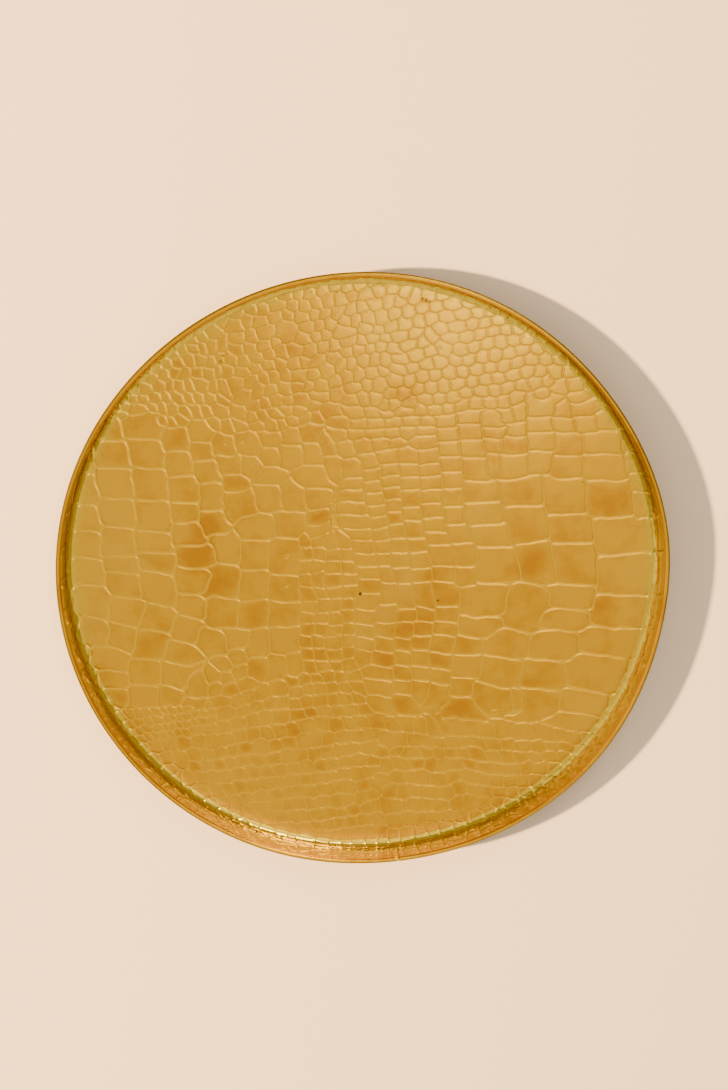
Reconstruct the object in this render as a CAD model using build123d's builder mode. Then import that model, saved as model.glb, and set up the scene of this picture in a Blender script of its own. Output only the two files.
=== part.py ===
"""Round brass serving tray: one sheet pan whose edge is rolled over a wire hoop.

Millimetres. The tray stands on z = 0, with +Z up through the middle of its floor.
"""

import os
from math import cos, radians, sin

from build123d import *

os.makedirs("parts", exist_ok=True)

# Driving dimensions
TRAY_DIAMETER = 400.0  # over the rolled rim
TRAY_HEIGHT = 22.5  # table to the top of the rim
SHEET = 0.7  # brass sheet
WIRE_DIAMETER = 1.8  # steel wire inside the rim
CORNER_RADIUS = 3.3  # inside, where the floor turns up into the wall
WALL_FLARE = 3.0  # degrees that the wall leans out from upright
ROLL_END = -118.0  # degrees; where the sheet's edge stops, curled under the wire
SEAM_AZIMUTH = 268.5  # degrees from +X; where the two ends of the wire meet
SEAM_GAP = 0.2  # degrees of arc left between the ends of the wire

# The rolled rim, in the plane of the section: distance from the axis, height
wire_radius = WIRE_DIAMETER / 2
rim_radius = wire_radius + SHEET
rim_centre = Vector(TRAY_DIAMETER / 2 - rim_radius, TRAY_HEIGHT - rim_radius)

# The wall lies against the wire, and the floor ends where the corner meets the wall
flare = radians(WALL_FLARE)
inward = Vector(-cos(flare), sin(flare))
corner_height = SHEET + CORNER_RADIUS
wall_run = (rim_radius + CORNER_RADIUS + (rim_centre.Y - corner_height) * sin(flare)) / cos(flare)
floor_radius = rim_centre.X - wall_run
corner_centre = Vector(floor_radius, corner_height)

roll_start = 180.0 - WALL_FLARE
roll_arc = roll_start - ROLL_END

# The pan: floor, corner, wall and rolled edge in one sheet
with BuildPart() as pan:
    with BuildSketch(Plane.XZ):
        with BuildLine():
            Line((0, 0), (floor_radius, 0))
            outer_corner = CenterArc(corner_centre, CORNER_RADIUS + SHEET, -90, 90 - WALL_FLARE)
            Line(outer_corner @ 1, rim_centre + inward * wire_radius)
            around_wire = CenterArc(rim_centre, wire_radius, roll_start, -roll_arc)
            roll_outside = CenterArc(rim_centre, rim_radius, ROLL_END, roll_arc)
            Line(around_wire @ 1, roll_outside @ 0)
            inner_corner = CenterArc(corner_centre, CORNER_RADIUS, -90, 90 - WALL_FLARE)
            Line(roll_outside @ 1, inner_corner @ 1)
            Line(inner_corner @ 0, (0, SHEET))
            Line((0, SHEET), (0, 0))
        make_face()
    revolve(axis=Axis.Z)
pan.part.label = "pan"
export_step(pan.part, "parts/pan.step")

# The wire: a hoop bent from one length, its ends butted together at the seam
wire_start = SEAM_AZIMUTH + SEAM_GAP / 2
wire_end_plane = Plane(
    origin=(0, 0, 0),
    x_dir=Vector(1, 0, 0).rotate(Axis.Z, wire_start),
    z_dir=Vector(0, -1, 0).rotate(Axis.Z, wire_start),
)
with BuildPart() as rim_wire:
    with BuildSketch(wire_end_plane):
        with Locations(rim_centre):
            Circle(wire_radius)
    revolve(axis=Axis.Z, revolution_arc=360 - SEAM_GAP)
rim_wire.part.label = "rim_wire"
export_step(rim_wire.part, "parts/rim_wire.step")
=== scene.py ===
"""The brass tray's looks: one sheet embossed with a reptile hide, its edge rolled over a wire.

The hide is laid out in millimetres on the flat blank that the tray is pressed from. The blank's
middle becomes the floor, and its edge runs over the corner and up the wall to the rolled rim.
"""

from math import cos, pi, radians, sin

import bpy
import numpy as np
from mathutils import Matrix, Vector


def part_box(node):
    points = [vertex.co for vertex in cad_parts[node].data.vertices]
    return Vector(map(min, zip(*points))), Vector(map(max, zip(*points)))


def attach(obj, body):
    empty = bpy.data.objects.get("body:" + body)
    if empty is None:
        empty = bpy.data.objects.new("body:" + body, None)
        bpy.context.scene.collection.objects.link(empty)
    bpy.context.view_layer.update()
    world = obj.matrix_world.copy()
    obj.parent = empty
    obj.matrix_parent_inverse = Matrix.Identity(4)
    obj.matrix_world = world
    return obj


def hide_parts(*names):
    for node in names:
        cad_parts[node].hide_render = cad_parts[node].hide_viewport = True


MM = 0.001

# The pressed sheet, in millimetres
SHEET = 0.6
RELIEF = 0.27  # how far the lines are pressed below the scales
LINE_EDGE = 0.9  # width of the slope at each side of a line
BACK_SHARE = 0.75  # how much of the relief shows on the underside
FLOOR_CLEARANCE = 0.05  # between the underside's lines and the table
RELIEF_FADE = 2.5  # the relief dies away over this much of the wall, below the rim
WIRE_RADIUS = 0.9
WIRE_FIT = 0.96  # the wire's share of the space inside the roll
ROLLED_SHEET = 0.7  # from the wire to the outside of the roll
WALL_FLARE = radians(3.0)
CORNER_RADIUS = 5.0  # inside, where the floor turns up into the wall
ROLL_END = radians(-118.0)  # where the sheet's edge stops, curled under the wire
RIM_INSET = 0.7  # the circle that the hand-finished rim wanders from is this much inside the CAD's
RIM_DROP = 0.25  # and its top is this much below the CAD's, before it is lifted here and there
SEAM_AZIMUTH = radians(268.5)  # where the two ends of the wire meet
SEAM_GAP = radians(0.2)
DIMPLE_DEPTH = 0.45  # of the mark that the seam leaves across the rim
DIMPLE_WIDTH = 0.8

# The relief's unevenness: the lines grow with the scales beside them and are broader at the left
HALF_LINE = 0.62
LINE_GROWTH = 0.016
LEFT_GROWTH = 0.35
PILLOW = 0.05  # how far a scale's edges sink towards the lines
PILLOW_FADE = 2.0
TONE_FADE = 2.5  # a scale's own tone comes in over this much of its edge
WARP_ACROSS = [(1.1, 17), (0.35, 6)]  # waves: size, spacing
WARP_UP = [(0.9, 19), (0.30, 6)]
DENTS = [(0.035, 34), (0.012, 9)]
CROSSING_SHARPNESS = 9.0  # lower rounds the scales' corners more where lines meet
FAR_REACH = 9  # the reach of a point that is on no scale
LEAST_SLOPE = 0.03  # keeps the distance to a line finite in the middle of a scale

# How the rim wanders from a true circle: azimuth in degrees, millimetres outward
RIM_WANDER = [(0, 0.4), (30, -1.2), (70, 0.5), (120, -0.6), (160, 0.3), (200, 0.0),
              (240, 0.4), (266, -0.5), (310, 1.0), (342, -0.6), (360, 0.4)]

# The blank and the grid that its relief is worked out on, in millimetres
BLANK_RADIUS = 218.0
GRID_STEP = 0.25

# Mesh spacing, in millimetres
FACE_STEP = 0.56
BACK_STEP = 1.6
ROLL_INSIDE_STEPS = 10
ROLL_OUTSIDE_STEPS = 18
ROLL_COARSE_STEPS = 4  # of the outside steps, under the wire, that have fewer vertices around


# ---------------------------------------------------------------- the hide's layout

# Large scales placed one by one, in blocks. A block is a list of (height up the blank, slope of the
# cross lines, lean of the upright lines), both in degrees, then a squareness (2 is round, 8 is square),
# then its scales: (across, up, width, height).
RIGHT_BLOCK = (
    [(-120, -14, 4), (-85, -16, 12), (-50, -13, 22), (-15, -8, 0), (15, -6, -2), (50, -8, 3), (90, -8, 3)],
    6.0,
    [
        (129, 93.5, 17, 11), (127, 82.5, 15, 9.5), (126, 71.5, 17, 11.5), (124.5, 58, 16, 14),
        (143.5, 67, 18.5, 13.5), (142, 52, 20, 14), (167, 65, 25, 14.5), (165, 48.5, 26, 17),
        (184.5, 64, 9, 13), (186, 48, 12, 12), (143.5, 88.5, 11, 8.5), (143, 79.5, 14, 8),
        (157.5, 77.5, 15, 9), (156, 87.5, 12, 8), (172, 77, 14, 8), (96, 90, 12, 9), (105, 91.5, 9, 8),
        (115, 92, 9, 9), (97, 82, 13, 8), (111, 82, 14, 8.5), (95.5, 73.5, 12, 9), (109, 73, 15.5, 12),
        (94.5, 61, 9, 14), (107.5, 59.5, 17, 14), (82, 73, 16, 10), (81.5, 60, 17, 13),
        (82, 84.5, 15, 9), (83, 94, 14, 8.5), (67, 75.5, 12, 9), (66, 65.5, 13, 9.5), (66, 55.5, 13, 9.5),
        (67, 85, 12, 9), (67, 94, 12, 8), (83.5, 45, 24, 13), (84, 30, 22, 15), (108.5, 40.5, 25, 19),
        (112, 18, 27, 24), (87.5, 14.5, 23, 15), (89, -6, 26, 25), (114, -8, 24, 29), (138, 33, 27, 22),
        (139.5, 11, 27, 20), (166.5, 27.5, 28, 23), (173, 1, 36, 24), (187.5, 36, 11, 12),
        (188, 20, 10, 17), (141, -14, 28, 29), (172, -27, 37, 25), (134, -35, 31, 17),
        (127, -51.5, 34, 13.5), (166, -50, 37, 21), (80, -30, 32, 22), (71, -47, 26, 14),
        (89, -62, 28, 18), (121, -68.5, 33, 20), (156, -71, 42, 18), (111, -87.5, 29, 21),
        (145, -91, 37, 24), (83, -80, 27, 18), (107, -105, 26, 17), (92, -102, 7, 14),
        (134, -110, 31, 17), (130, -124.5, 25, 12), (61, -74, 20, 16), (76, -98, 30, 13),
        (54, -88, 17, 12), (62, -59, 18, 13), (55, -101, 16, 11), (67, -11, 14, 14), (68, 4, 14, 14),
        (67, 19, 13, 13), (65, 32, 12, 12), (65, 44, 12, 11),
        (203, 52, 13, 20), (206, 30, 15, 22), (207, 6, 15, 24), (206, -20, 20, 26), (204, -47, 26, 24),
        (197, -74, 26, 22), (184, -99, 28, 22), (168, -121, 26, 18), (153, -136, 22, 15),
    ],
)
ARCHED_BLOCK = ([(-40, -20, 20)], 3.0, [(103, -39, 34, 31)])
LEFT_BLOCK = (
    [(-60, -9, 10), (-40, -20, 17), (-15, -24, 18), (10, -18, 14), (30, -12, 8), (60, -8, 3), (110, -8, 2)],
    5.0,
    [
        (-127, 119, 22, 13), (-127, 102, 22, 17.5), (-149, 104, 21, 17), (-128, 82, 21, 21),
        (-150, 85.5, 21, 20), (-129.5, 61, 21, 19), (-153, 66, 23, 17), (-156, 47, 22, 19),
        (-133, 43.5, 20, 15), (-107, 107.5, 18, 13), (-107.5, 91.5, 16.5, 15), (-108, 75.5, 18, 15),
        (-110, 60.5, 17, 12.5), (-111, 45.5, 18, 14), (-93, 50, 15, 14), (-107, 30, 20, 13),
        (-88, 31, 17, 17), (-90, 110, 13, 12), (-90, 97, 13, 12), (-89, 83, 16, 13), (-91, 67, 16, 15),
        (-155, 30.5, 21, 11), (-133, 29, 19, 12), (-156, 17.5, 20, 14), (-180, 10, 20, 19),
        (-160, -1, 21, 16), (-136, 12, 20, 18), (-112, 13.5, 20, 13), (-140, -10, 19, 15),
        (-117, -3, 17, 12), (-182, -12, 17, 16), (-166, -17, 20, 16), (-147, -27, 20, 16),
        (-123.5, -21, 17, 14), (-93, 8.5, 21, 20), (-95, -10, 20, 18), (-130, -36.5, 18, 12),
        (-107, -30, 18, 12), (-176, -33, 20, 15), (-155, -47, 20, 15), (-133, -51.5, 22, 13),
        (-176, -48, 18, 11), (-159, -62, 20, 13), (-140, -65, 18, 12), (-172, 85, 20, 20),
        (-177, 66, 22, 18), (-180, 47, 22, 18), (-181, 29, 22, 17), (-172, 104, 20, 17), (-150, 121, 20, 14),
        (-193, 88, 18, 20), (-197, 66, 16, 22), (-202, 44, 16, 22), (-204, 21, 16, 22), (-205, -2, 18, 22),
        (-203, -24, 20, 20), (-198, -45, 20, 20), (-191, -64, 18, 16), (-177, -60, 14, 10),
    ],
)
ROUNDED_BLOCK = (
    [(-60, -8, 6), (0, -6, 10), (40, -6, 12), (80, -10, 0)],
    3.6,
    [
        (-73, 58.5, 22, 17), (-53, 59.5, 17, 14), (-37, 59.5, 14.5, 19), (-49, 74.5, 20, 10),
        (-24, 71, 18, 14), (-24, 56, 11, 11), (-65, 42, 20, 16), (-43, 41.5, 18, 17), (-69, 24, 19, 19),
        (-49.5, 21, 18, 20), (-73, 4, 20, 20), (-54.5, 0, 16, 18), (-76, -17, 19, 17),
        (-57, -19.5, 18, 17), (-77, -36.5, 17, 18), (-58, -38, 18, 17), (-35, 85, 17, 15),
        (-49, 88, 13, 11), (-62, 82, 13, 12), (-72, 73, 13, 12), (-61, 97, 13, 11), (-47, 99, 13, 10),
        (-33, 99, 12, 11), (-21, 85, 12, 13), (-54, -56, 10, 17), (-66, -53, 12, 14), (-78, -52, 12, 12),
        (-78, 98, 12, 12), (-76, 85, 13, 13), (-121, -59, 14, 15), (-125, -70.5, 15, 8), (-89, -31, 18, 13),
        (-20, 99, 12, 11), (-10, 74, 10, 14), (-11, 90, 9, 13), (-27, 43, 10, 9), (-28, 34, 10, 9),
    ],
)
ROSETTE_BLOCK = (
    [(0, 0, 0)],
    2.2,
    [
        (-110, -54, 10, 10), (-101, -47.5, 10, 9), (-91, -43, 11, 10), (-109.5, -64, 9, 8),
        (-100.5, -57.5, 9, 9), (-91.5, -54.5, 9, 9), (-99.5, -67, 11, 9), (-88.5, -65, 11, 10),
        (71, 140, 9, 10), (65, 148, 10, 8), (-27, 166, 11, 13), (155, 95, 9, 7), (6, -126, 7, 7),
    ],
)

# Lines between the middle's columns of narrow scales, as points down the blank: (across, up)
MIDDLE_LINES = [
    [(-6, 82), (-4, 45), (-3, 20), (-4, -10), (-11, -30), (-14, -62)],
    [(8, 82), (9, 45), (10, 20), (9, -10), (3, -30), (0, -50), (-8, -98)],
    [(20, 82), (20, 20), (19, -10), (17, -30), (14, -55), (6, -98)],
    [(33, 82), (31, 45), (32, 0), (29, -38), (24, -60), (17, -98)],
    [(46, 82), (44, 50), (45, 10), (45, -20), (41, -42), (36, -60), (29, -98)],
    [(60, 95), (58, 45), (60, 20), (63, -10), (60, -28), (57, -44), (50, -65), (42, -98)],
]
# Where the lines across each column cross its middle
MIDDLE_ROWS = [
    [76, 66, 58, 49, 41, 32, 24, 15, 6, -4, -14, -24, -34, -44, -53, -62],
    [79, 70, 62, 54, 46, 38, 30, 22, 14, 5, -8, -22, -34, -45, -55, -65, -75, -86, -96],
    [80, 71, 63, 56, 48, 39, 30, 21, 13, 2, -10, -28, -37, -47, -56, -66, -77, -87, -97],
    [79, 70, 61, 53, 41, 31, 20, 11, -1, -11, -29, -39, -48, -57, -68, -79, -90],
    [86, 78, 68, 60, 51, 42, 32, 22, 13, -2, -13, -29, -41, -51, -61, -72, -83, -94],
]
MIDDLE_SLOPES = [(-90, -17), (-50, -16), (-20, -10), (10, -7), (50, -3), (80, -3)]

# Fields of smaller scales: corners (top left, top right, bottom left, bottom right), columns, rows,
# squareness, arch (above 0 the tops are arched, below 0 the bottoms hang), unevenness, and how far
# every second row is shifted
FIELDS = [
    ((46, 176), (140, 176), (50, 98), (137, 97), 10, 11, 2.0, -0.42, 0.10, 0.50),
    ((140, 172), (200, 150), (137, 101), (196, 90), 6, 8, 2.4, -0.30, 0.15, 0.40),
    ((46, 222), (170, 205), (46, 172), (150, 172), 12, 6, 2.6, -0.30, 0.15, 0.40),
    ((-8, 116), (60, 103), (-6, 83), (60, 82), 6, 4, 3.5, 0.10, 0.12, 0.20),
    ((-37, 34), (-4, 27), (-50, -62), (-14, -66), 4, 11, 4.0, 0.00, 0.12, 0.10),
    ((-60, 222), (46, 222), (-60, 104), (48, 104), 13, 16, 2.3, -0.10, 0.20, 0.35),
    ((-150, 205), (-60, 222), (-146, 127), (-60, 104), 12, 13, 2.3, -0.05, 0.22, 0.35),
    ((-215, 140), (-150, 215), (-150, 126), (-140, 127), 6, 4, 3.0, 0.00, 0.12, 0.20),
    ((-204, -72), (-112, -72), (-190, -94), (-112, -95), 15, 4, 2.7, 0.00, 0.20, 0.35),
    ((-112, -71), (-60, -66), (-112, -95), (-62, -93), 5, 3, 2.8, 0.00, 0.16, 0.30),
    ((-62, -62), (-12, -66), (-62, -93), (-8, -98), 6, 4, 3.2, 0.00, 0.16, 0.20),
    ((-200, -94), (-8, -98), (-160, -226), (-12, -232), 20, 15, 3.0, 0.25, 0.15, 0.32),
    ((-8, -98), (150, -137), (-12, -232), (150, -232), 17, 13, 3.2, 0.22, 0.15, 0.30),
]
CROWDING = 0.60  # a scale is dropped when its middle is this far into one laid before it

# Where the brass has darkened: across, up, radius, strength
STAINS = [
    (-97, 48, 8, 1.6), (-106, 34, 10, 1.1), (38, 119, 5, 1.2), (47, 115, 6, 1.2), (113, -8, 11, 1.0),
    (97, -12, 6, 0.4), (157, -46, 12, 0.5), (160, -30, 9, 0.45), (170, 5, 14, 0.35), (-104, 10, 16, 0.4),
    (-108, -20, 14, 0.4), (47, -5, 11, 0.4), (30, -38, 13, 0.5), (-8, -160, 8, 0.5), (6, -126, 5, 0.5),
    (20, -70, 60, 0.25), (-40, -60, 45, 0.25), (75, 70, 14, 0.2), (103, -42, 16, 0.3), (112, 38, 13, 0.3),
    (-107, -64, 12, 0.35), (-62, -97, 12, 0.3), (-20, 135, 40, 0.25), (96, 84, 8, 0.4), (102, 73, 9, 0.3),
    (130, 35, 10, 0.25), (46, 40, 7, 0.4), (-85, 25, 45, 0.2),
]
# Where the brass is paler: across, up, radius, strength. The two large spots at the top and upper right also
# paint the sheen that light reflects there, a painted reflection.
PALE_AND_SHEEN_SPOTS = [
    (100, 150, 60, 0.5), (40, 160, 40, 0.35), (-195, 10, 34, 0.45), (-165, 75, 30, 0.3),
    (190, -30, 26, 0.35), (150, -125, 24, 0.35), (29, 0, 9, 0.5), (24, -14, 9, 0.5), (9, -30, 8, 0.4),
    (-5, -43, 9, 0.4), (85, 30, 14, 0.35), (-110, -150, 40, 0.2), (-150, 40, 22, 0.3),
]
# Where the lines have no pale residue and no painted highlight in them: across, up, radius, strength
BARE_LINES = [(110, 140, 70, 0.8), (175, 60, 45, 0.4), (0, 190, 50, 0.4)]
LINE_RESIDUE_AND_HIGHLIGHT = 0.9  # the strength of the pale residue and painted highlight in all the other lines
# Small dark specks of corrosion: across, up, radius, strength
SPECKS = [
    (-4, -12.7, 1.0, 1.0), (46.5, -25, 0.6, 0.9), (63, 173.8, 0.9, 0.7), (65, 172.8, 1.0, 0.8),
    (67, 171.5, 0.7, 0.6), (-68, 157, 0.9, 0.5), (-70, 153.5, 1.0, 0.5), (124, 141, 0.7, 0.5),
    (-6, 188.5, 0.7, 0.4), (10, 186, 0.7, 0.5), (151, 41, 0.5, 0.6), (70, 142, 1.2, 0.3),
]

# The metal is polished towards the wall, from inside the floor's edge, in millimetres
POLISH_RUN_IN = 8
POLISH_RUN = 13
# The roll's outside is worn from its top down to the outside of the wall
WORN_FROM = radians(85)
WORN_OVER = radians(40)

MIDDLE_SQUARENESS = 4.5
FIELD_SEED = 11
WARP_SEED = 23


class Scale:
    """One scale of the hide: its middle, its two directions, its half sizes, squareness and arch."""

    def __init__(self, middle, along, down, half_width, half_height, squareness, arch=0.0):
        self.middle = np.array(middle, float)
        self.along = np.array(along, float) / np.hypot(*along)
        self.down = np.array(down, float) / np.hypot(*down)
        self.half_width = half_width
        self.half_height = half_height
        self.squareness = squareness
        self.arch = arch

    def reach(self, x, y):
        """0 at the scale's middle and 1 at its edge."""
        dx, dy = x - self.middle[0], y - self.middle[1]
        cross = self.along[0] * self.down[1] - self.along[1] * self.down[0]
        across = (dx * self.down[1] - dy * self.down[0]) / cross
        below = (dy * self.along[0] - dx * self.along[1]) / cross
        height = np.where(below > 0, 1 + self.arch, 1 - self.arch) * self.half_height
        power = self.squareness
        parts = np.abs(across / self.half_width) ** power + np.abs(below / height) ** power
        return parts ** (1 / power)


def block_scales(block):
    """The scales of one block, turned and leaned as they are at their height."""
    turns, squareness, places = block
    heights, slopes, leans = zip(*turns)
    scales = []
    for across, up, width, height in places:
        slope = radians(np.interp(up, heights, slopes))
        lean = radians(np.interp(up, heights, leans))
        along, down = (cos(slope), sin(slope)), (-sin(lean), -cos(lean))
        scales.append(Scale((across, up), along, down, width / 2, height / 2, squareness))
    return scales


def column_scales(lines, rows, slopes, squareness):
    """Scales in columns between neighbouring lines, cut across at the given heights."""
    slope_at, slope = zip(*slopes)
    scales = []
    for left, right, cuts in zip(lines, lines[1:], rows):
        for top, bottom in zip(cuts, cuts[1:]):
            middle = (top + bottom) / 2
            ends = [[np.interp(y, *zip(*sorted((p[1], p[0]) for p in line))) for y in (top, bottom)]
                    for line in (left, right)]
            (x0, x1), (x2, x3) = ends
            tilt = radians(np.interp(middle, slope_at, slope))
            down = ((x1 + x3 - x0 - x2) / 2, bottom - top)
            scales.append(Scale(
                ((x0 + x1 + x2 + x3) / 4, middle), (cos(tilt), sin(tilt)), down,
                (x2 + x3 - x0 - x1) / 4 / cos(tilt), np.hypot(*down) / 2, squareness))
    return scales


def field_scales(field, rng):
    """Scales on a slack grid between four corners, with every second row shifted along."""
    *corners, columns, rows, squareness, arch, unevenness, shift = field
    top_left, top_right, bottom_left, bottom_right = (np.array(c, float) for c in corners)
    scales = []
    for row in range(rows):
        v = (row + 0.5) / rows
        left = top_left + (bottom_left - top_left) * v
        right = top_right + (bottom_right - top_right) * v
        for column in range(columns):
            u = (column + 0.5 + shift * ((row % 2) - 0.5)) / columns
            along = (right - left) / columns
            down = ((bottom_left - top_left) * (1 - u) + (bottom_right - top_right) * u) / rows
            slip = rng.uniform(-unevenness, unevenness, 2)
            middle = left + (right - left) * u + along * slip[0] + down * slip[1]
            size = 1 + rng.uniform(-unevenness, unevenness, 2)
            turn = rng.uniform(-unevenness, unevenness)
            along = np.array((along[0] - turn * along[1], along[1] + turn * along[0]))
            scales.append(Scale(middle, along, down, np.hypot(*along) / 2 * size[0],
                                np.hypot(*down) / 2 * size[1], squareness, arch))
    return scales


def hide_scales():
    """All the scales, the ones placed one by one first, without those that would crowd them."""
    rng = np.random.default_rng(FIELD_SEED)
    laid = []
    for block in (RIGHT_BLOCK, ARCHED_BLOCK, LEFT_BLOCK, ROUNDED_BLOCK, ROSETTE_BLOCK):
        laid += block_scales(block)
    wanted = column_scales(MIDDLE_LINES, MIDDLE_ROWS, MIDDLE_SLOPES, MIDDLE_SQUARENESS)
    for field in FIELDS:
        wanted += field_scales(field, rng)
    for scale in wanted:
        if np.hypot(*scale.middle) > BLANK_RADIUS + scale.half_width:
            continue
        if all(other.reach(*scale.middle) > 2 * CROWDING for other in laid):
            laid.append(scale)
    return laid


# ---------------------------------------------------------------- the relief

def grid_axis():
    return np.arange(-BLANK_RADIUS, BLANK_RADIUS + GRID_STEP, GRID_STEP, dtype=np.float32)


def smooth_noise(rng, spacing):
    """Random values every `spacing` mm over the blank, joined smoothly. Their mean is about 0."""
    steps = (grid_axis() + BLANK_RADIUS) / spacing + 1
    first = np.floor(steps).astype(int)
    part = (steps - first).astype(np.float32)
    part = part * part * (3 - 2 * part)
    knots = rng.standard_normal((first[-1] + 3, first[-1] + 3)).astype(np.float32)
    rows = knots[first] * (1 - part)[:, None] + knots[first + 1] * part[:, None]
    return rows[:, first] * (1 - part) + rows[:, first + 1] * part


def wavy(values, rng, waves):
    """Values with smooth noise added to them, one wave after the other."""
    for size, spacing in waves:
        values = values + size * smooth_noise(rng, spacing)
    return values


def line_distances(scales, warp_x, warp_y):
    """Distance to the nearest line between scales, in mm, and which scale each point is on."""
    axis = grid_axis()
    nearest = np.full((len(axis), len(axis)), FAR_REACH, np.float32)
    second, third = nearest.copy(), nearest.copy()
    owner = np.zeros(nearest.shape, np.int32)
    for number, scale in enumerate(scales):
        span = 1.9 * max(scale.half_width, scale.half_height) + 2
        low = np.searchsorted(axis, scale.middle - span)
        high = np.searchsorted(axis, scale.middle + span)
        window = (slice(low[1], high[1]), slice(low[0], high[0]))
        reach = scale.reach(warp_x[window], warp_y[window]).astype(np.float32)
        owner[window][reach < nearest[window]] = number
        behind = np.maximum(nearest[window], reach)
        nearest[window] = np.minimum(nearest[window], reach)
        last = np.maximum(second[window], behind)
        second[window] = np.minimum(second[window], behind)
        third[window] = np.minimum(third[window], last)
    to_second = np.exp(-CROSSING_SHARPNESS * (second - nearest))
    to_third = np.exp(-CROSSING_SHARPNESS * (third - nearest))
    gap = -np.log(to_second + to_third) / CROSSING_SHARPNESS
    up, across = np.gradient(gap, GRID_STEP)
    return gap / np.maximum(np.hypot(up, across), LEAST_SLOPE), owner


def relief_maps():
    """Grids over the blank: the relief's height in mm, how far into a line, and each scale's tone."""
    rng = np.random.default_rng(WARP_SEED)
    axis = grid_axis()
    x, y = np.meshgrid(axis, axis)
    warp_x = wavy(x, rng, WARP_ACROSS)
    warp_y = wavy(y, rng, WARP_UP)
    scales = hide_scales()
    distance, owner = line_distances(scales, warp_x, warp_y)
    widths = [HALF_LINE + LINE_GROWTH * (s.half_width + s.half_height) for s in scales]
    widths = np.array(widths, np.float32)
    # It grows from 60 to 120 mm left of the middle, and only above the small scales at the bottom
    broader = LEFT_GROWTH * np.clip((-60 - x) / 60, 0, 1) * np.clip((y + 75) / 20, 0, 1)
    half_line = widths[owner] * (1 + 0.10 * smooth_noise(rng, 14)) + broader
    depth = 1 + 0.18 * smooth_noise(rng, 30)
    into = np.clip((half_line - distance) / LINE_EDGE, 0, 1)
    line = 0.5 - 0.5 * np.cos(pi * into)
    pillow = np.exp(-np.maximum(distance, 0) / PILLOW_FADE)
    dents = wavy(0, rng, DENTS)
    height = -RELIEF * np.clip(depth, 0.5, 1.4) * line - PILLOW * pillow + dents
    tones = rng.standard_normal(len(scales)).astype(np.float32)
    inner = 1 - np.exp(-np.maximum(distance - 1, 0) / TONE_FADE)
    return height, line, tones[owner] * inner


def sample(grid, x, y):
    """A grid's values at points of the blank, between its own points."""
    column = np.clip((x + BLANK_RADIUS) / GRID_STEP, 0, grid.shape[1] - 1.001)
    row = np.clip((y + BLANK_RADIUS) / GRID_STEP, 0, grid.shape[0] - 1.001)
    i, j = np.floor(row).astype(int), np.floor(column).astype(int)
    a, b = row - i, column - j
    low = grid[i, j] * (1 - b) + grid[i, j + 1] * b
    high = grid[i + 1, j] * (1 - b) + grid[i + 1, j + 1] * b
    return low * (1 - a) + high * a


def spots_at(spots, x, y):
    """How strong a list of soft round spots is at points of the blank."""
    total = np.zeros(np.shape(x))
    for across, up, radius, strength in spots:
        total += strength * np.exp(-((x - across) ** 2 + (y - up) ** 2) / radius ** 2)
    return total


def specks_at(x, y):
    """How strong the specks are at points of the blank: full in the middle, with a crisp edge."""
    total = np.zeros(np.shape(x))
    for across, up, radius, strength in SPECKS:
        spread = np.hypot(x - across, y - up) / radius
        total = np.maximum(total, strength * np.clip(1.6 - spread, 0, 1))
    return total


# ---------------------------------------------------------------- the pan's mesh

def rim_wander(azimuth):
    """Millimetres that the rim stands out at each azimuth, as a smooth closed curve."""
    at, out = (np.array(v, float) for v in zip(*RIM_WANDER))
    turn = np.degrees(azimuth) % 360
    after = np.clip(np.searchsorted(at, turn, side="right"), 1, len(at) - 1)
    part = (turn - at[after - 1]) / (at[after] - at[after - 1])
    part = part * part * (3 - 2 * part)
    return out[after - 1] * (1 - part) + out[after] * part


def rim_lift(azimuth):
    """Millimetres that the rim stands up at each azimuth."""
    return 0.12 * np.sin(2 * azimuth + 0.8) + 0.08 * np.sin(5 * azimuth)


class Profile:
    """The pan's section: the serving face from the middle out, up the wall and over the rim.

    Its points are (distance from the axis, height), in millimetres.
    """

    def __init__(self, radius, height):
        self.rim_radius = WIRE_RADIUS + ROLLED_SHEET
        self.rim = np.array((radius - RIM_INSET - self.rim_radius, height - self.rim_radius - RIM_DROP))
        self.top = RELIEF + SHEET + FLOOR_CLEARANCE
        corner_height = self.top + CORNER_RADIUS
        run = self.rim_radius + CORNER_RADIUS + (self.rim[1] - corner_height) * sin(WALL_FLARE)
        self.floor = self.rim[0] - run / cos(WALL_FLARE)
        self.corner = np.array((self.floor, corner_height))
        self.corner_turn = pi / 2 - WALL_FLARE
        self.corner_end = self.floor + CORNER_RADIUS * self.corner_turn
        self.foot = self.corner + CORNER_RADIUS * np.array((cos(WALL_FLARE), -sin(WALL_FLARE)))
        head = self.rim + self.rim_radius * np.array((-cos(WALL_FLARE), sin(WALL_FLARE)))
        self.wall_length = np.hypot(*(head - self.foot))
        self.wall_end = self.corner_end + self.wall_length

    def face(self, s):
        """Where the serving face is, s mm along it from the middle, and its outward normal."""
        if s <= self.floor:
            return np.array((s, self.top)), np.array((0.0, 1.0))
        if s <= self.corner_end:
            turn = (s - self.floor) / CORNER_RADIUS
            normal = np.array((-sin(turn), cos(turn)))
            return self.corner - CORNER_RADIUS * normal, normal
        normal = np.array((-cos(WALL_FLARE), sin(WALL_FLARE)))
        up = np.array((sin(WALL_FLARE), cos(WALL_FLARE)))
        return self.foot + up * (s - self.corner_end), normal


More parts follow.
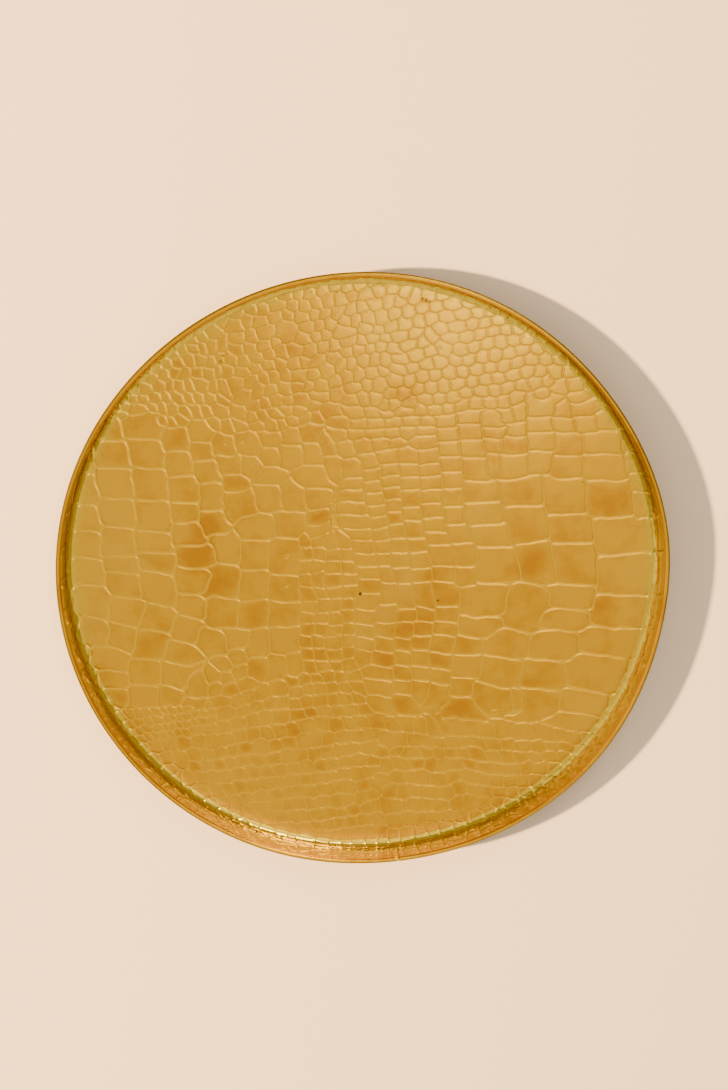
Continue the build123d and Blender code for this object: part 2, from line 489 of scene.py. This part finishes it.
def bridge(first, first_count, second, second_count):
    """Faces between two rings of vertices, given each ring's first vertex and its count."""
    if first_count == second_count:
        i = np.arange(first_count)
        j = (i + 1) % first_count
        return np.stack((first + i, first + j, second + j, second + i), 1)
    if first_count == 1:
        j = np.arange(second_count)
        return np.stack((np.full_like(j, first), second + (j + 1) % second_count, second + j), 1)
    j = np.arange(second_count)
    i = ((2 * j + 1) * first_count + second_count) // (2 * second_count)
    outer = np.stack((second + (j + 1) % second_count, second + j, first + i % first_count), 1)
    i = np.arange(first_count)
    j = ((2 * i + 1) * second_count + first_count - 1) // (2 * first_count)
    inner = np.stack((first + i, first + (i + 1) % first_count, second + j % second_count), 1)
    return np.concatenate((outer, inner))


def make_mesh(name, points, faces, attributes):
    """A smooth mesh from points in mm and arrays of triangles and quads."""
    mesh = bpy.data.meshes.new(name)
    corners = np.concatenate([f.ravel() for f in faces]).astype(np.int32)
    sizes = np.concatenate([np.full(len(f), f.shape[1]) for f in faces]).astype(np.int32)
    mesh.vertices.add(len(points))
    mesh.vertices.foreach_set("co", (points * MM).astype(np.float32).ravel())
    mesh.loops.add(len(corners))
    mesh.loops.foreach_set("vertex_index", corners)
    mesh.polygons.add(len(sizes))
    mesh.polygons.foreach_set("loop_start", np.concatenate(([0], np.cumsum(sizes)[:-1])).astype(np.int32))
    mesh.update(calc_edges=True)
    mesh.shade_smooth()
    for label, values in attributes.items():
        layer = mesh.attributes.new(label, "FLOAT", "POINT")
        layer.data.foreach_set("value", values.astype(np.float32))
    mesh.validate()
    piece = bpy.data.objects.new(name, mesh)
    bpy.context.scene.collection.objects.link(piece)
    return piece


def spoke_at(turn):
    return np.array((cos(turn), sin(turn)))


def relief_share(profile, s):
    """How much of the relief there is: all of it, up to where it dies away below the rim."""
    return min(1.0, (profile.wall_end - s) / RELIEF_FADE + 0.02)


def pan_rings(profile):
    """The pan's rings from the middle of its underside, over the rim, to the middle of its floor.

    Each ring is (count, distance along the blank, section point, normal of the serving face,
    relief share, how far it is out of sight of the serving face).
    """
    rings = [(1, 0.0, np.array((0, profile.top - SHEET)), np.array((0.0, 1.0)), BACK_SHARE, 1.0)]
    back_rings = round(profile.floor / BACK_STEP)
    for k in range(1, back_rings + 1):
        s = profile.floor * k / back_rings
        point, normal = profile.face(s)
        rings.append((6 * k, s, point - SHEET * normal, normal, BACK_SHARE, 1.0))
    around = 6 * round(profile.floor / FACE_STEP)
    back_around = around * 2 // 3
    up = profile.corner_end - profile.floor + profile.wall_length
    back_steps = round(up / (BACK_STEP * 0.6))
    for k in range(1, back_steps + 1):
        s = profile.floor + up * k / back_steps
        point, normal = profile.face(s)
        share = BACK_SHARE * relief_share(profile, s)
        thick = SHEET + (profile.rim_radius - WIRE_RADIUS - SHEET) * k / back_steps
        rings.append((back_around, s, point - thick * normal, normal, share, 1.0))
    start = pi - WALL_FLARE
    for k in range(1, ROLL_INSIDE_STEPS + 1):
        spoke = spoke_at(start + (ROLL_END - start) * k / ROLL_INSIDE_STEPS)
        point = profile.rim + WIRE_RADIUS * spoke
        rings.append((back_around, profile.wall_end, point, spoke, 0.0, 1.0))
    for k in range(ROLL_OUTSIDE_STEPS + 1):
        turn = ROLL_END + (start - ROLL_END) * k / ROLL_OUTSIDE_STEPS
        spoke = spoke_at(turn)
        point = profile.rim + profile.rim_radius * spoke
        count = back_around if k < ROLL_COARSE_STEPS else around
        outside = np.clip((WORN_FROM - turn) / WORN_OVER, 0, 1)
        rings.append((count, profile.wall_end, point, spoke, 0.0, outside))
    face_steps = round(up / FACE_STEP)
    for k in range(1, face_steps + 1):
        s = profile.wall_end - up * k / face_steps
        point, normal = profile.face(s)
        rings.append((around, s, point, normal, relief_share(profile, s), 0.0))
    for k in range(around // 6 - 1, 0, -1):
        s = profile.floor * k / (around // 6)
        point, normal = profile.face(s)
        rings.append((6 * k, s, point, normal, 1.0, 0.0))
    rings.append((1, 0.0, np.array((0, profile.top)), np.array((0.0, 1.0)), 1.0, 0.0))
    return rings


def ring_points(profile, azimuth, point, normal, raised):
    """A ring's vertices: its section point raised by the relief, bent as the whole rim is bent."""
    radius = point[0] + normal[0] * raised
    z = point[1] + normal[1] * raised
    outward = np.clip((point[0] - profile.floor + 30) / 34, 0, 1) ** 2
    outward = outward * (0.45 + 0.55 * np.clip(point[1] / profile.rim[1], 0, 1))
    radius = radius + outward * rim_wander(azimuth)
    z = z + np.clip((point[1] - 3) / profile.rim[1], 0, 1) * rim_lift(azimuth)
    if point[1] > profile.rim[1] * 0.45:
        off_seam = np.abs((azimuth - SEAM_AZIMUTH + pi) % (2 * pi) - pi) * radius
        inward = np.sign(profile.rim[0] - point[0] + 1e-6)
        radius = radius + DIMPLE_DEPTH * np.exp(-((off_seam / DIMPLE_WIDTH) ** 2)) * inward
    return np.stack((radius * np.cos(azimuth), radius * np.sin(azimuth), np.maximum(z, 0)), 1)


def polish_at(profile, s):
    """How polished the metal is, s mm along the serving face: 0 in the middle and 1 on the wall."""
    return np.clip((s - profile.floor + POLISH_RUN_IN) / POLISH_RUN, 0, 1) ** 2


def make_pan(profile):
    """The embossed sheet as one closed mesh, with what its material reads kept on its vertices."""
    height, line, tone = relief_maps()
    rings = pan_rings(profile)
    points, blank, faces, starts = [], [], [], [0]
    for count, s, point, normal, share, outside in rings:
        azimuth = np.arange(count) * (2 * pi / count)
        x, y = s * np.cos(azimuth), s * np.sin(azimuth)
        points.append(ring_points(profile, azimuth, point, normal, share * sample(height, x, y)))
        wall = np.full(count, polish_at(profile, s) * (share > 0))
        blank.append(np.stack((
            sample(line, x, y) * share, sample(tone, x, y), spots_at(STAINS, x, y),
            spots_at(PALE_AND_SHEEN_SPOTS, x, y), specks_at(x, y), LINE_RESIDUE_AND_HIGHLIGHT - spots_at(BARE_LINES, x, y),
            wall, np.full(count, outside)), 1))
        starts.append(starts[-1] + count)
    for k in range(len(rings) - 1):
        count, after = rings[k][0], rings[k + 1][0]
        if count > after:
            faces.append(bridge(starts[k + 1], after, starts[k], count)[:, ::-1])
        else:
            faces.append(bridge(starts[k], count, starts[k + 1], after))
    labels = ("line", "tone", "stain", "pale_and_sheen", "speck", "residue_and_highlight", "wall", "outside")
    looks = dict(zip(labels, np.concatenate(blank).T))
    return make_mesh("embossed_pan", np.concatenate(points), faces, looks)


def make_wire(profile):
    """The hoop inside the rolled rim, with its two ends butted at the seam."""
    along, around = 480, 10
    azimuth = SEAM_AZIMUTH + SEAM_GAP / 2 + np.linspace(0, 2 * pi - SEAM_GAP, along)
    turn = np.arange(around) * (2 * pi / around)
    azimuth, turn = np.meshgrid(azimuth, turn, indexing="ij")
    wire = WIRE_RADIUS * WIRE_FIT
    radius = profile.rim[0] + rim_wander(azimuth) + wire * np.cos(turn)
    z = profile.rim[1] + rim_lift(azimuth) + wire * np.sin(turn)
    points = np.stack((radius * np.cos(azimuth), radius * np.sin(azimuth), z), 2).reshape(-1, 3)
    i, j = np.meshgrid(np.arange(along - 1), np.arange(around), indexing="ij")
    a, b = i * around + j, i * around + (j + 1) % around
    sides = np.stack((a, a + around, b + around, b), 2).reshape(-1, 4)
    ends = np.array([np.arange(around), (along * around - 1) - np.arange(around)])
    return make_mesh("rim_wire_hoop", points, [sides, ends], {})


# ---------------------------------------------------------------- materials

# Linear colours
GOLD = (0.94, 0.485, 0.001, 1)
TARNISH = (0.74, 0.31, 0.000, 1)
# Paler brass; at the top and upper right it also paints the sheen of reflected light
PALE_AND_SHEEN = (1.00, 0.58, 0.03, 1)
# The lines' pale colour is residue and also a painted highlight along them
RESIDUE_AND_HIGHLIGHT = (1.00, 0.57, 0.015, 1)
POLISHED = (0.92, 0.70, 0.05, 1)
BROWNED = (0.72, 0.54, 0.02, 1)
WEATHERED = (0.13, 0.085, 0.012, 1)
EDGE_TINT = (0.80, 0.74, 0.12, 1)
CORRODED = (0.03, 0.02, 0.01, 1)
STEEL_DARK = (0.48, 0.47, 0.45, 1)
STEEL_LIGHT = (0.60, 0.58, 0.55, 1)

BRASS_ROUGHNESS = 0.25
POLISH_GAIN = 0.13  # how much smoother the wall is
WEATHERED_LOSS = 0.25  # how much rougher the outside and the underside are
STEEL_ROUGHNESS = 0.42


def nodes_of(name):
    material = bpy.data.materials.new(name)
    material.use_nodes = True
    tree = material.node_tree
    return material, tree.nodes, tree.links, tree.nodes["Principled BSDF"]


class Wiring:
    """Short ways to add and join shader nodes."""

    def __init__(self, nodes, links):
        self.nodes, self.links = nodes, links

    def feed(self, socket, value):
        if isinstance(value, bpy.types.NodeSocket):
            self.links.new(value, socket)
        else:
            socket.default_value = value

    def attribute(self, name):
        node = self.nodes.new("ShaderNodeAttribute")
        node.attribute_name = name
        return node.outputs["Fac"]

    def math(self, operation, *values, clamp=False):
        node = self.nodes.new("ShaderNodeMath")
        node.operation = operation
        node.use_clamp = clamp
        for socket, value in zip(node.inputs, values):
            self.feed(socket, value)
        return node.outputs[0]

    def swing(self, value, middle, size):
        """How far a value is from its middle, made larger or smaller."""
        return self.math("MULTIPLY", self.math("SUBTRACT", value, middle), size)

    def ramp(self, value, low, high):
        """0 below `low` and 1 above `high`, with a smooth step between them."""
        node = self.nodes.new("ShaderNodeMapRange")
        node.interpolation_type = "SMOOTHSTEP"
        for name, part in (("Value", value), ("From Min", low), ("From Max", high)):
            self.feed(node.inputs[name], part)
        return node.outputs["Result"]

    def mix(self, share, first, second):
        node = self.nodes.new("ShaderNodeMix")
        node.data_type = "RGBA"
        for socket, value in zip((node.inputs[0], node.inputs[6], node.inputs[7]), (share, first, second)):
            self.feed(socket, value)
        return node.outputs[2]

    def noise(self, size, detail=2.0, roughness=0.5):
        """Noise in 0 to 1, of features about `size` mm across."""
        node = self.nodes.new("ShaderNodeTexNoise")
        place = self.nodes.new("ShaderNodeTexCoord")
        self.links.new(place.outputs["Object"], node.inputs["Vector"])
        node.inputs["Scale"].default_value = 1 / (size * MM)
        node.inputs["Detail"].default_value = detail
        node.inputs["Roughness"].default_value = roughness
        return node.outputs["Fac"]


def brass():
    material, nodes, links, shader = nodes_of("embossed_brass")
    w = Wiring(nodes, links)
    line, tone, wall, outside = (w.attribute(n) for n in ("line", "tone", "wall", "outside"))
    cloud = w.noise(size=16, detail=3.0)
    mottle = w.noise(size=3.5, detail=3.0, roughness=0.6)

    stain = w.math("ADD", w.attribute("stain"), w.swing(cloud, middle=0.46, size=2.3))
    stain = w.math("ADD", stain, w.swing(mottle, middle=0.5, size=0.5))
    stain = w.math("ADD", stain, w.math("MULTIPLY", tone, 0.30))
    between_lines = w.math("SUBTRACT", 1.0, w.math("MULTIPLY", line, 0.7))
    stain = w.math("MULTIPLY", stain, between_lines, clamp=True)
    colour = w.mix(stain, GOLD, TARNISH)
    # Paler patches; at the top and upper right they are a painted reflection of light
    pale_and_sheen = w.math("MULTIPLY", w.attribute("pale_and_sheen"), w.math("SUBTRACT", 1.0, line))
    # The lines are painted paler: partly residue, partly a painted highlight
    residue_and_highlight = w.math("MULTIPLY", line, w.attribute("residue_and_highlight"))
    colour = w.mix(pale_and_sheen, colour, PALE_AND_SHEEN)
    colour = w.mix(residue_and_highlight, colour, RESIDUE_AND_HIGHLIGHT)
    wall_colour = w.mix(w.ramp(mottle, 0.40, 0.75), POLISHED, BROWNED)
    colour = w.mix(wall, colour, wall_colour)
    colour = w.mix(w.attribute("speck"), colour, CORRODED)
    colour = w.mix(outside, colour, WEATHERED)
    links.new(colour, shader.inputs["Base Color"])

    rough = w.math("ADD", BRASS_ROUGHNESS, w.swing(mottle, middle=0.5, size=0.12))
    rough = w.math("SUBTRACT", rough, w.math("MULTIPLY", wall, POLISH_GAIN))
    rough = w.math("ADD", rough, w.math("MULTIPLY", outside, WEATHERED_LOSS))
    links.new(rough, shader.inputs["Roughness"])
    shader.inputs["Metallic"].default_value = 1.0
    shader.inputs["Specular Tint"].default_value = EDGE_TINT
    return material


def steel():
    material, nodes, links, shader = nodes_of("steel_wire")
    w = Wiring(nodes, links)
    shader.inputs["Metallic"].default_value = 1.0
    links.new(w.mix(w.noise(size=2.0), STEEL_DARK, STEEL_LIGHT), shader.inputs["Base Color"])
    shader.inputs["Roughness"].default_value = STEEL_ROUGHNESS
    return material


# ---------------------------------------------------------------- the room

LENS = 50.0
SENSOR = 36.0
CAMERA_AIM = Vector((3.2, 19.9, 0.0)) * MM
CAMERA_AT = Vector((15.8, 268.5, 968.0)) * MM
CAMERA_UP_AZIMUTH = radians(81.8)

ROOM_LIGHT = (1.0, 0.87, 0.74)
SKY_LIGHT = (1.0, 0.88, 0.72)
WORLD_STRENGTH = 0.42
FLOOR_SIZE = 8.0
FLOOR_COLOUR = (0.90, 0.72, 0.50, 1)
FLOOR_ROUGHNESS = 0.9

# Round lamps that face the tray: name, azimuth, elevation, distance and size in metres, power, colour.
# The key casts the shadow and doesn't show in the metal.
KEY = ("key", 170.5, 33, 4.0, 0.21, 905, (1.0, 0.66, 0.36))
LAMPS = [
    ("ceiling", 270, 80, 2.6, 4.0, 18.0, ROOM_LIGHT),
    ("window", 165, 22, 3.0, 4.0, 28.0, ROOM_LIGHT),
    ("front", 270, 18, 3.0, 4.0, 20.0, ROOM_LIGHT),
    ("back", 66, 58, 2.6, 2.4, 12.0, SKY_LIGHT),
    ("sheen", 0, 83, 2.6, 0.6, 2.1, SKY_LIGHT),
    ("spark", 62, 36, 2.6, 0.9, 20.0, (1.0, 0.90, 0.78)),
]


def set_camera():
    data = bpy.data.cameras.new("camera")
    data.lens = LENS
    data.sensor_width = SENSOR
    data.dof.use_dof = False
    camera = bpy.data.objects.new("camera", data)
    back = (CAMERA_AT - CAMERA_AIM).normalized()
    up = Vector((cos(CAMERA_UP_AZIMUTH), sin(CAMERA_UP_AZIMUTH), 0))
    right = up.cross(back).normalized()
    turn = Matrix((right, back.cross(right), back)).transposed()
    camera.matrix_world = Matrix.Translation(CAMERA_AT) @ turn.to_4x4()
    bpy.context.scene.collection.objects.link(camera)
    bpy.context.scene.camera = camera


def area_light(name, azimuth, elevation, distance, size, power, colour):
    data = bpy.data.lights.new(name, "AREA")
    data.shape = "DISK"
    data.size = size
    data.energy = power
    data.color = colour
    lamp = bpy.data.objects.new(name, data)
    a, e = radians(azimuth), radians(elevation)
    way = Vector((cos(a) * cos(e), sin(a) * cos(e), sin(e)))
    lamp.location = way * distance
    lamp.rotation_euler = way.to_track_quat("Z", "Y").to_euler()
    bpy.context.scene.collection.objects.link(lamp)
    return lamp


def set_world():
    world = bpy.data.worlds.new("studio")
    bpy.context.scene.world = world
    world.use_nodes = True
    background = world.node_tree.nodes["Background"]
    background.inputs["Color"].default_value = (*ROOM_LIGHT, 1)
    background.inputs["Strength"].default_value = WORLD_STRENGTH


def lay_floor():
    bpy.ops.mesh.primitive_plane_add(size=FLOOR_SIZE)
    floor = bpy.context.object
    floor.name = "floor"
    material, _, _, shader = nodes_of("floor")
    shader.inputs["Base Color"].default_value = FLOOR_COLOUR
    shader.inputs["Roughness"].default_value = FLOOR_ROUGHNESS
    floor.data.materials.append(material)


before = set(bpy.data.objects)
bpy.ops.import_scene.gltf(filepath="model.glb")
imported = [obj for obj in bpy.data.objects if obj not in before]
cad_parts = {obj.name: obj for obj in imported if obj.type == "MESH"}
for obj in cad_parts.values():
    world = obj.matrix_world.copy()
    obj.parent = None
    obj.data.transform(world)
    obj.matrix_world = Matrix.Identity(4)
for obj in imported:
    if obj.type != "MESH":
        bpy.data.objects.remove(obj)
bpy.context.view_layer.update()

low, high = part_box("pan")
profile = Profile((high[0] - low[0]) / 2 / MM, high[2] / MM)

pan = make_pan(profile)
pan.data.materials.append(brass())
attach(pan, "root")
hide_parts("pan")

wire = make_wire(profile)
wire.data.materials.append(steel())
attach(wire, "root")
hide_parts("rim_wire")

set_world()
key = area_light(*KEY)
key.visible_glossy = False
for lamp in LAMPS:
    area_light(*lamp)
lay_floor()
set_camera()
